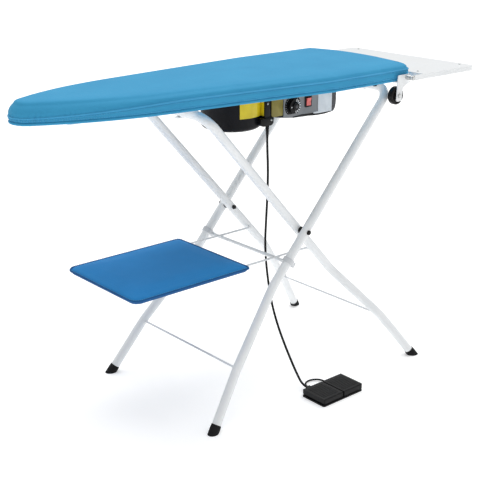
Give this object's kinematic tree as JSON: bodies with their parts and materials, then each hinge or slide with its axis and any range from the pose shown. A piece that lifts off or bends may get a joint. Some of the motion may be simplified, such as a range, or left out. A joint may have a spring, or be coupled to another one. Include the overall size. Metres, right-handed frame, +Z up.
{
  "type": "vacuum ironing table",
  "caption": "Folding vacuum ironing table with a padded heated board, scissor legs, level shelf, iron rest, fan unit and foot pedals.",
  "frame": {"origin": "middle of the footprint on the floor", "axes": "+Z up, +X from the board's nose to the iron rest, +Y from the control side to the far side"},
  "size_m": [1.365, 0.5948, 0.878],
  "materials": {
    "cover_fabric": "quilted cotton",
    "felt": "felt",
    "galvanised_sheet": "galvanised",
    "aluminium_plate": "matte",
    "heater_tube": "oxidised",
    "pale_enamel": "semi-gloss",
    "housing_plastic": "semi-gloss",
    "grey_panel": "satin",
    "box_paint": "semi-gloss",
    "dark_plastic": "satin",
    "black_plastic": "satin",
    "black_rubber": "matte",
    "red_plastic": "gloss",
    "yellow_label": "satin",
    "white_label": "satin",
    "dial_print": "satin",
    "zinc_steel": "zinc plated",
    "grey_plastic": "satin",
    "steel_rod": "semi-gloss"
  },
  "bodies": {
    "table_top": {"base_pan": "pale_enamel", "plate_supports": "galvanised_sheet", "heater_element": "heater_tube", "perforated_plate": "aluminium_plate", "felt_pad": "felt", "board_cover": "cover_fabric", "fan_housing": "housing_plastic", "inlet_plate": "housing_plastic", "motor_body": "galvanised_sheet", "control_box": "box_paint", "mains_gland": "black_plastic", "end_cap": "dark_plastic", "control_panel": "grey_panel", "dial_ring": "dial_print", "thermostat_body": "zinc_steel", "switch_body": "black_plastic", "yellow_plate": "yellow_label", "small_plate": "yellow_label", "white_plate": "white_label", "cord_post": "housing_plastic", "cord_gland": "black_plastic", "pedal_cord": "black_rubber", "link_cord": "black_rubber", "hinge_saddles": "pale_enamel", "slide_strips": "pale_enamel", "rest_pins": "zinc_steel", "rest_spacers": "zinc_steel", "tail_brackets": "pale_enamel", "wheel_axles": "zinc_steel", "cover_cleats": "black_plastic", "unit_screws": "zinc_steel", "pedal_base": "black_plastic", "pedal_pins": "zinc_steel", "pedal_switches": "dark_plastic"},
    "outer_legs": {"outer_frame": "pale_enamel", "outer_tie_bar": "steel_rod", "outer_foot_caps": "black_rubber", "pivot_bolts": "black_plastic", "pivot_spacers": "black_plastic", "rest_bar": "steel_rod", "rest_bar_collars": "grey_plastic"},
    "inner_legs": {"inner_frame": "pale_enamel", "inner_tie_bar": "steel_rod", "inner_foot_caps": "black_rubber"},
    "shelf": {"shelf_rods": "steel_rod", "shelf_pad": "cover_fabric"},
    "tail_rest": {"iron_rest": "pale_enamel", "rest_bumps": "zinc_steel"},
    "near_wheel": {"near_wheel": "black_plastic"},
    "far_wheel": {"far_wheel": "black_plastic"},
    "knob": {"thermostat_knob": "black_plastic", "thermostat_shaft": "zinc_steel"},
    "rocker": {"rocker_switch": "red_plastic"},
    "left_pedal": {"left_pedal": "black_plastic"},
    "right_pedal": {"right_pedal": "black_plastic"},
    "fan": {"fan_impeller": "aluminium_plate", "motor_shaft": "zinc_steel"}
  },
  "joints": [
    {"name": "fold_legs", "type": "hinge", "parent": "table_top", "child": "outer_legs", "pos_m": [0.392, 0.025, 0.8], "axis": [0, 1, 0], "range_deg": [0, 40]},
    {"name": "cross_legs", "type": "hinge", "parent": "outer_legs", "child": "inner_legs", "pos_m": [0.0775, 0.025, 0.449], "axis": [0, 1, 0], "range_deg": [-80, 0]},
    {"name": "shelf_level", "type": "hinge", "parent": "inner_legs", "child": "shelf", "pos_m": [0.13687, 0.025, 0.376], "axis": [0, 1, 0], "range_deg": [0, 40]},
    {"name": "rest_fold", "type": "hinge", "parent": "table_top", "child": "tail_rest", "pos_m": [0.4125, 0.025, 0.834], "axis": [0, 1, 0], "range_deg": [0, 50]},
    {"name": "near_wheel_spin", "type": "hinge", "parent": "table_top", "child": "near_wheel", "pos_m": [0.3855, -0.176, 0.785], "axis": [0, 1, 0], "continuous": true},
    {"name": "far_wheel_spin", "type": "hinge", "parent": "table_top", "child": "far_wheel", "pos_m": [0.3855, 0.226, 0.785], "axis": [0, 1, 0], "continuous": true},
    {"name": "knob_turn", "type": "hinge", "parent": "table_top", "child": "knob", "pos_m": [0.0845, -0.09, 0.782], "axis": [0, 1, 0], "range_deg": [0, 270]},
    {"name": "rocker_tip", "type": "hinge", "parent": "table_top", "child": "rocker", "pos_m": [0.1405, -0.0805, 0.787], "axis": [1, 0, 0], "range_deg": [-12, 0]},
    {"name": "left_pedal_press", "type": "hinge", "parent": "table_top", "child": "left_pedal", "pos_m": [0.0535, -0.225, 0.014], "axis": [1, 0, 0], "range_deg": [0, 3], "stiffness_Nm_per_rad": 1, "springref_deg": -20.05},
    {"name": "right_pedal_press", "type": "hinge", "parent": "table_top", "child": "right_pedal", "pos_m": [0.1275, -0.225, 0.014], "axis": [1, 0, 0], "range_deg": [0, 3], "stiffness_Nm_per_rad": 1, "springref_deg": -20.05},
    {"name": "fan_spin", "type": "hinge", "parent": "table_top", "child": "fan", "pos_m": [-0.0875, 0.025, 0.79], "axis": [0, 0, 1], "continuous": true}
  ],
  "couplings": [
    {"joint": "cross_legs", "follows": "fold_legs", "ratio": -2},
    {"joint": "shelf_level", "follows": "fold_legs", "ratio": 1}
  ]
}
